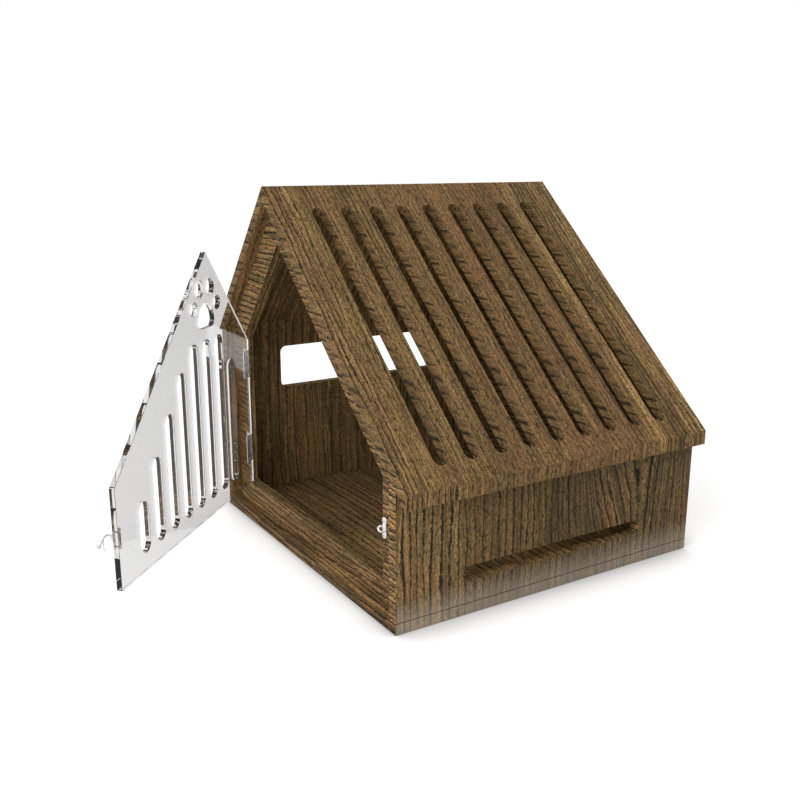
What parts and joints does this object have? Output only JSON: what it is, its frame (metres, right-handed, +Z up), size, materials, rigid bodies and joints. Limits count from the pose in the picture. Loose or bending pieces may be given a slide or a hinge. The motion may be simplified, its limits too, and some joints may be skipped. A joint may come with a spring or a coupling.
{
  "type": "indoor wooden pet house",
  "caption": "Off-centre gable pet house in dark wood-look boards with a slatted roof, recessed doorway and a clear slotted door on butt hinges with a hook-and-eye latch.",
  "frame": {"origin": "bottom centre of the base board, on the floor plane", "axes": "+Z up; the doorway faces -Y; +X is to the right of someone facing the doorway; the ridge runs along Y, left of the middle"},
  "size_m": [0.4567, 0.6409, 0.4144],
  "materials": {
    "wood_board": "dark oiled oak-look veneer, open grain, satin",
    "wood_dowel": "plain beech",
    "clear_acrylic": "polished clear sheet",
    "bright_steel": "bright plated steel"
  },
  "bodies": {
    "house": {"back_dowels": "wood_dowel", "back_panel": "wood_board", "base_board": "wood_board", "base_dowels": "wood_dowel", "frame_dowels": "wood_dowel", "frame_eye_plate": "bright_steel", "frame_eye_screws": "bright_steel", "frame_hinge_screws": "bright_steel", "front_frame": "wood_board", "left_roof_panel": "wood_board", "left_wall": "wood_board", "lower_hinge_frame_leaf": "bright_steel", "lower_hinge_pin": "bright_steel", "right_roof_panel": "wood_board", "right_wall": "wood_board", "roof_dowels": "wood_dowel", "upper_hinge_frame_leaf": "bright_steel", "upper_hinge_pin": "bright_steel"},
    "door": {"door_panel": "clear_acrylic", "upper_hinge_door_leaf": "bright_steel", "lower_hinge_door_leaf": "bright_steel", "door_hinge_screws": "bright_steel", "door_hook_plate": "bright_steel", "door_hook_screws": "bright_steel"},
    "hook": {"latch_hook": "bright_steel"}
  },
  "joints": [
    {"name": "door_swing", "type": "hinge", "parent": "house", "child": "door", "pos_m": [-0.1678, -0.1875, 0.14], "axis": [0, 0, -1], "range_deg": [-45.64, 100]},
    {"name": "hook_lift", "type": "hinge", "parent": "door", "child": "hook", "pos_m": [0.0561, -0.42004, 0.0932], "axis": [-0.715, -0.6992, 0], "range_deg": [0, 115]}
  ]
}
